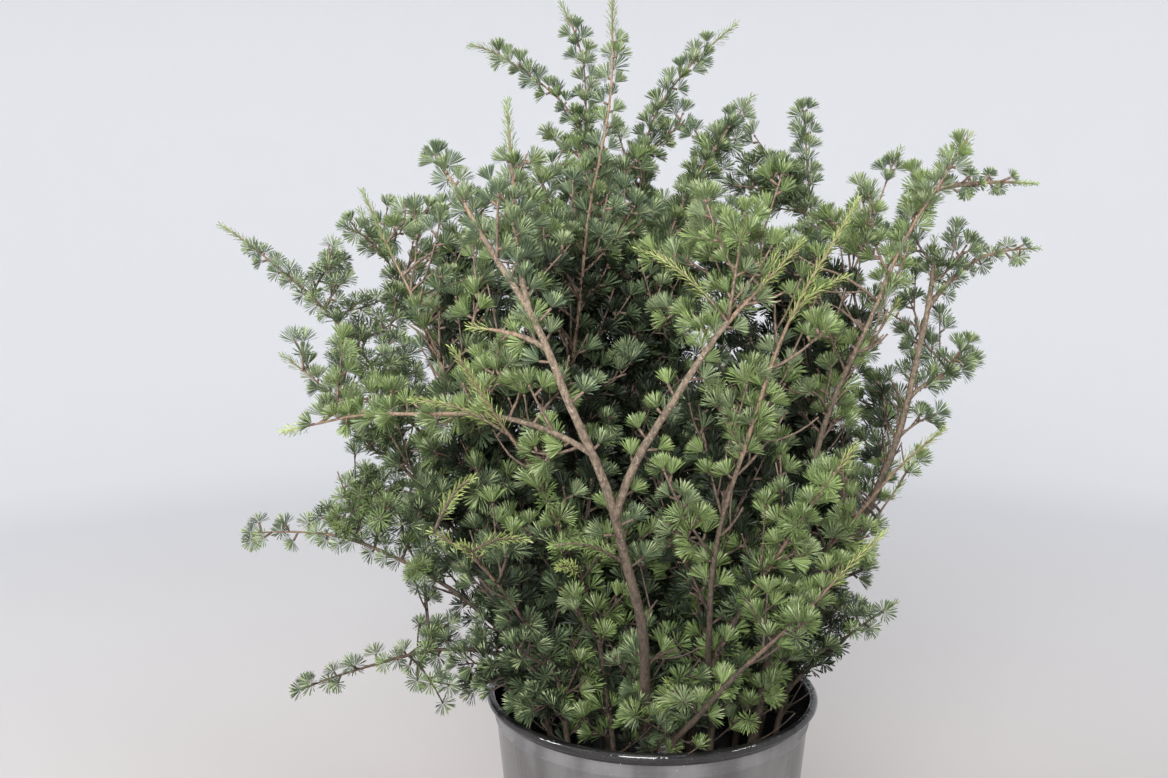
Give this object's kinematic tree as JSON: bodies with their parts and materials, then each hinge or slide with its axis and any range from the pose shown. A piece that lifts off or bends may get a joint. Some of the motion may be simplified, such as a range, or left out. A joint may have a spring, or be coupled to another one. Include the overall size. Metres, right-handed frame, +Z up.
{
  "type": "bunch of cut cedar boughs in a bucket",
  "caption": "Round dark plastic bucket holding a full bunch of cut cedar boughs: slim bare limbs fan out over the rim into twigs set with rosettes of short blue-green needles.",
  "frame": {"origin": "middle of the bucket's flat underside, on the surface that it stands on", "axes": "+Z up; -Y towards the viewer of the front, +Y towards the back; +X to the right as seen from the front"},
  "size_m": [0.7898, 0.5177, 0.9316],
  "materials": {
    "bucket": "gloss",
    "bark": "rough",
    "needles": "matte"
  },
  "bodies": {
    "root": {"bucket": "bucket", "back_left_limb": "bark", "back_limb": "bark", "back_right_limb": "bark", "far_left_limb": "bark", "front_fork_limb": "bark", "front_fork_right_limb": "bark", "front_left_limb": "bark", "front_low_left_limb": "bark", "front_low_right_limb": "bark", "front_right_limb": "bark", "left_back_limb": "bark", "left_low_limb": "bark", "left_shoot_limb": "bark", "middle_left_limb": "bark", "middle_right_limb": "bark", "right_back_limb": "bark", "right_low_limb": "bark", "right_side_limb": "bark", "right_upper_limb": "bark", "top_centre_limb": "bark", "upper_right_limb": "bark", "back_left_outer_spray": "needles", "back_left_spray": "needles", "back_low_spray": "needles", "back_right_low_spray": "needles", "back_right_spray": "needles", "back_spray": "needles", "far_left_outer_spray": "needles", "far_left_spray": "needles", "front_fork_left_arch_spray": "needles", "front_fork_left_level_spray": "needles", "front_fork_right_spray": "needles", "front_fork_spray": "needles", "front_fork_upright_spray": "needles", "front_left_spray": "needles", "front_low_left_spray": "needles", "front_low_right_spray": "needles", "front_right_outer_spray": "needles", "front_right_spray": "needles", "left_back_low_spray": "needles", "left_back_spray": "needles", "left_low_level_spray": "needles", "left_low_lowest_spray": "needles", "left_low_spray": "needles", "left_shoot_spray": "needles", "middle_left_spray": "needles", "middle_right_spray": "needles", "right_back_low_spray": "needles", "right_back_spray": "needles", "right_low_shoot_spray": "needles", "right_low_spray": "needles", "right_side_outer_spray": "needles", "right_side_short_spray": "needles", "right_side_spray": "needles", "right_upper_front_spray": "needles", "right_upper_outer_spray": "needles", "right_upper_spray": "needles", "top_centre_spray": "needles", "upper_right_spray": "needles"}
  },
  "joints": []
}
